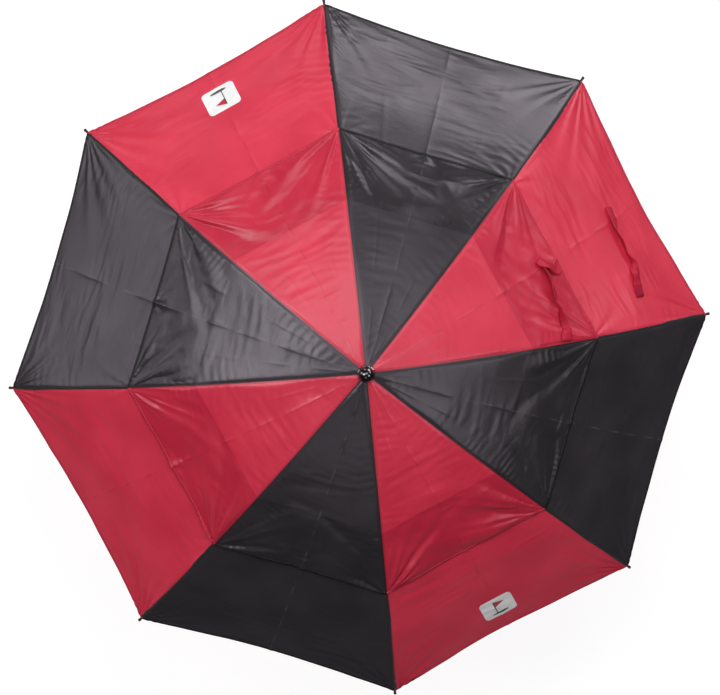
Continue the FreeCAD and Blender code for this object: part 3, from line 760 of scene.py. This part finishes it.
# ---------------------------------------------------------------- canopy
MIDDLE_ROWS, FLAP_ROWS, SKIRT_ROWS = 96, 66, 150
SEAM_START, SEAM_END = 0.012, RIB_LENGTH - 0.001
INNER_SEAM_LIFT, OUTER_SEAM_LIFT, FLAP_SEAM_LIFT = 0.0032, 0.0030, 0.0044
INNER_TIES, OUTER_TIES = (0.075, 0.15, 0.225), (0.43, 0.52, 0.61)       # lengths along the rib
INNER_TIE_R, OUTER_TIE_R = 0.0030, 0.0026
for k in range(1, RIBS + 1):
    tint = "red" if k in RED_PANELS else "black"
    inner_body, outer_body = f"upper_canopy_{k}", f"lower_canopy_{k}"
    middle = cloth(f"canopy_middle_{k}", k, at(CROWN_S), at(KNUCKLE_S + TUCK), MIDDLE_ROWS, tucked_shape,
                   cloth_materials[tint, "single"])
    flap = cloth(f"vent_flap_{k}", k, at(KNUCKLE_S - LAP), hem_at(VENT_S, VENT_SAG), FLAP_ROWS, upper_shape,
                 cloth_materials[tint, "double"])
    skirt = cloth(f"canopy_skirt_{k}", k, at(KNUCKLE_S), hem_at(RIB_LENGTH, OUTER_SAG), SKIRT_ROWS,
                  lower_shape,
                  cloth_materials[tint, "single"])
    flap_hem = hem_band(f"vent_hem_{k}", k, VENT_S, VENT_SAG, upper_shape, hem_materials[tint])
    skirt_hem = hem_band(f"outer_hem_{k}", k, RIB_LENGTH, OUTER_SAG, lower_shape, hem_materials[tint])
    fold_away(middle, inner_body)
    for piece in (flap, skirt, flap_hem, skirt_hem):
        fold_away(piece, outer_body)
    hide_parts(f"upper_panel_{k}")
    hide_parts(f"lower_panel_{k}")

    inner_seam = seam_strip(f"seam_inner_{k}", k, SEAM_START, KNUCKLE_S, INNER_SEAM_LIFT, seam_tape, rows=40)
    outer_seam = seam_strip(f"seam_outer_{k}", k, KNUCKLE_S, SEAM_END, OUTER_SEAM_LIFT, seam_tape, rows=60)
    flap_seam = seam_strip(f"seam_flap_{k}", k, KNUCKLE_S, VENT_S, FLAP_SEAM_LIFT, seam_tape, rows=24)
    inner_ties = rib_ties(f"rib_ties_inner_{k}", k, INNER_TIES, INNER_TIE_R, thread_material)
    outer_ties = rib_ties(f"rib_ties_outer_{k}", k, OUTER_TIES, OUTER_TIE_R, thread_material)
    for piece, body in ((inner_seam, f"rib_inner_{k}"), (outer_seam, f"rib_outer_{k}"),
                        (flap_seam, f"rib_outer_{k}"), (inner_ties, f"rib_inner_{k}"),
                        (outer_ties, f"rib_outer_{k}")):
        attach(piece, body)

# ---------------------------------------------------------------- printed patches
PATCH_S = float(length_at_radius(PATCH_R / cos(HALF)))
PATCH_OUTLINE = rounded_rectangle(*PATCH, PATCH_CORNER)
# a generic golf flag, in metres from the patch's middle
POLE = polygon([(-0.0070, -0.0170), (-0.0050, -0.0170), (-0.0050, 0.0190), (-0.0070, 0.0190)])
FLAG = polygon([(-0.0050, 0.0190), (-0.0050, 0.0040), (0.0160, 0.0115)])
GREEN = [(0.0170 * cos(a), -0.0180 + 0.0030 * sin(a)) for a in np.linspace(0, 2 * pi, 28, endpoint=False)]
for k in PATCH_PANELS:
    patch = flat_print(f"printed_patch_{k}", k, PATCH_S, PATCH_OUTLINE, PATCH_LIFT, print_white)
    pole = flat_print(f"printed_pole_{k}", k, PATCH_S, POLE, PICTURE_LIFT, print_dark,
                      rings=2, centre=(-0.0060, 0.0))
    flag = flat_print(f"printed_flag_{k}", k, PATCH_S, FLAG, FLAG_LIFT, print_red,
                      rings=4, centre=(0.0, 0.0115))
    green = flat_print(f"printed_ground_{k}", k, PATCH_S, GREEN, PICTURE_LIFT, print_dark,
                       rings=2, centre=(0.0, -0.0180))
    for piece in (patch, pole, flag, green):
        fold_away(piece, f"lower_canopy_{k}")

# ---------------------------------------------------------------- tie straps
outer_strap = ribbon("tie_strap_on_skirt", STRAP_PANEL, [
    (0.026, 0.632, 0.0016, 0.0080, 5), (0.014, 0.629, 0.0035, 0.0086, 15),
    (-0.004, 0.624, 0.0055, 0.0086, 20), (-0.022, 0.620, 0.0060, 0.0080, 45),
    (-0.045, 0.618, 0.0075, 0.0074, 66), (-0.068, 0.616, 0.0055, 0.0072, 60),
    (-0.088, 0.618, 0.0065, 0.0080, 100), (-0.100, 0.612, 0.0055, 0.0088, 150),
    (-0.112, 0.608, 0.0070, 0.0086, 190), (-0.126, 0.603, 0.0030, 0.0086, 176),
    (-0.152, 0.594, 0.0018, 0.0086, 180)], lower_shape, strap_cloth)
vent_strap = ribbon("tie_strap_on_vent", STRAP_PANEL, [
    (0.004, 0.424, 0.0050, 0.0075, 15), (-0.012, 0.421, 0.0090, 0.0085, 35),
    (-0.030, 0.417, 0.0080, 0.0080, 55), (-0.050, 0.411, 0.0095, 0.0078, 40),
    (-0.072, 0.405, 0.0075, 0.0078, 60), (-0.092, 0.401, 0.0085, 0.0080, 100),
    (-0.110, 0.398, 0.0070, 0.0084, 128), (-0.126, 0.392, 0.0055, 0.0096, 158),
    (-0.140, 0.385, 0.0045, 0.0110, 180)], upper_shape, strap_cloth)
pad = ribbon("tie_strap_pad", STRAP_PANEL, [
    (-0.128, 0.6023, 0.0040, 0.0084, 0), (-0.139, 0.5985, 0.0036, 0.0084, 0),
    (-0.150, 0.5947, 0.0034, 0.0084, 0)], lower_shape, strap_pad, count=24)
bow = ribbon("tie_strap_bow", STRAP_PANEL, [
    (0.017, 0.414, 0.0040, 0.0065, 0), (0.008, 0.418, 0.0085, 0.0085, 20),
    (-0.001, 0.426, 0.0110, 0.0070, 35), (-0.009, 0.433, 0.0085, 0.0080, 15),
    (-0.018, 0.438, 0.0060, 0.0065, 5), (-0.026, 0.446, 0.0050, 0.0040, 0)],
    upper_shape, strap_cloth, count=34)
for piece in (outer_strap, pad, vent_strap, bow):
    fold_away(piece, f"lower_canopy_{STRAP_PANEL}")
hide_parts("tie_strap_outer")
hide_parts("tie_strap_vent")

# ---------------------------------------------------------------- floor, light, camera
SIDE = 14.0                 # of the floor, from its middle
WALL = 12.0                 # height of the backdrop
FLOOR_Z = -0.0005
GLOW = 0.85                 # of the floor, which the photograph shows pure white
WORLD_STRENGTH = 0.045


def stage_piece(name, points, faces, material):
    """A part of the studio. The photograph's ground is cut out, so the cloth doesn't mirror it."""
    obj = new_piece(name, points, faces, material, shaded=False)
    obj.visible_glossy = False
    return obj


n = Nodes("pale_floor")
speckle = n.noise(3.0, 3, 0.5, object_space(n))
pale = n.mix(n.ramp(speckle, 0.3, 0.7), rgb(0.30, 0.30, 0.30), rgb(0.33, 0.33, 0.33))
surface = n.add("ShaderNodeBsdfPrincipled", {"Base Color": pale, "Roughness": 0.9,
                                             "Emission Color": rgb(1, 1, 1), "Emission Strength": GLOW})
pale_floor = n.finish(surface.outputs[0])
corners = [(-SIDE, -SIDE), (SIDE, -SIDE), (SIDE, SIDE), (-SIDE, SIDE)]
floor_points = [(x, y, FLOOR_Z) for x, y in corners]
stage_piece("floor", floor_points, [(0, 1, 2, 3)], pale_floor)
backdrop = stage_piece("backdrop", floor_points + [(x, y, WALL) for x, y in corners],
                       [(i, (i + 1) % 4, (i + 1) % 4 + 4, i + 4) for i in range(4)], pale_floor)
# it is only there to be seen, so that a low view has no dark sky
backdrop.visible_diffuse = backdrop.visible_transmission = backdrop.visible_shadow = False

scene = bpy.context.scene
scene.view_settings.view_transform = "Standard"
world = bpy.data.worlds.new("studio")
scene.world = world
world.use_nodes = True
background = world.node_tree.nodes["Background"]
background.inputs["Color"].default_value = (1.0, 1.0, 1.0, 1.0)
background.inputs["Strength"].default_value = WORLD_STRENGTH

CANOPY_MIDDLE = Vector((0, 0, 0.8))
LIGHT_DISTANCE = 4.0


def softbox(name, azimuth, zenith, energy, size=2.0, mirrored=True):
    """A round softbox aimed at the canopy: its direction in degrees, its power in watts, its width
    in metres. One that isn't mirrored lights the cloth and adds no gloss to it."""
    light = bpy.data.lights.new(name, "AREA")
    light.shape = "DISK"
    light.size = size
    light.energy = energy
    a, z = radians(azimuth), radians(zenith)
    outward = Vector((sin(z) * cos(a), sin(z) * sin(a), cos(z)))
    obj = bpy.data.objects.new(name, light)
    obj.location = CANOPY_MIDDLE + LIGHT_DISTANCE * outward
    obj.rotation_euler = (-outward).to_track_quat("-Z", "Y").to_euler()
    obj.visible_glossy = mirrored
    bpy.context.collection.objects.link(obj)


softbox("low_key", 55, 80, 39)
softbox("low_left_of_key", 100, 82, 12)
softbox("low_right", 30, 65, 17)
softbox("low_left", 157, 77, 15)
softbox("left", 160, 58, 4.5, 1.8)
softbox("high_left", 160, 35, 38, 1.8)
softbox("high_right", 337, 35, 16, 1.8)
softbox("high_near", 250, 38, 4, 1.8)
softbox("high_key", 75, 22, 15, 2.4)
softbox("high_left_of_key", 120, 22, 9)
softbox("overhead", 75, 28, 66, mirrored=False)
softbox("overhead_left", 120, 45, 9, mirrored=False)

# the camera looks almost straight down: fitted to points measured in the photograph
TILT, TILT_AXIS, ROLL = 0.1382, 0.2714, 0.1042      # radians
OFFSET = (-0.0111, 0.0474, 8.0)                     # of the camera from the hinge ring, in its own axes
FOCAL_PX, FRAME_W = 4337.0, 720.0                   # focal length and width of the photograph, pixels
SENSOR = 36.0                                       # millimetres
turn = Matrix.Rotation(TILT, 3, Vector((cos(TILT_AXIS), sin(TILT_AXIS), 0))) @ Matrix.Rotation(ROLL, 3, "Z")
camera_data = bpy.data.cameras.new("camera")
camera_data.sensor_width = SENSOR
camera_data.lens = FOCAL_PX / FRAME_W * SENSOR
camera_data.clip_end = 60
camera = bpy.data.objects.new("camera", camera_data)
bpy.context.collection.objects.link(camera)
place = Vector((0, 0, HINGE_Z)) + turn.transposed() @ Vector(OFFSET)
camera.matrix_world = Matrix.Translation(place) @ turn.transposed().to_4x4()
scene.camera = camera
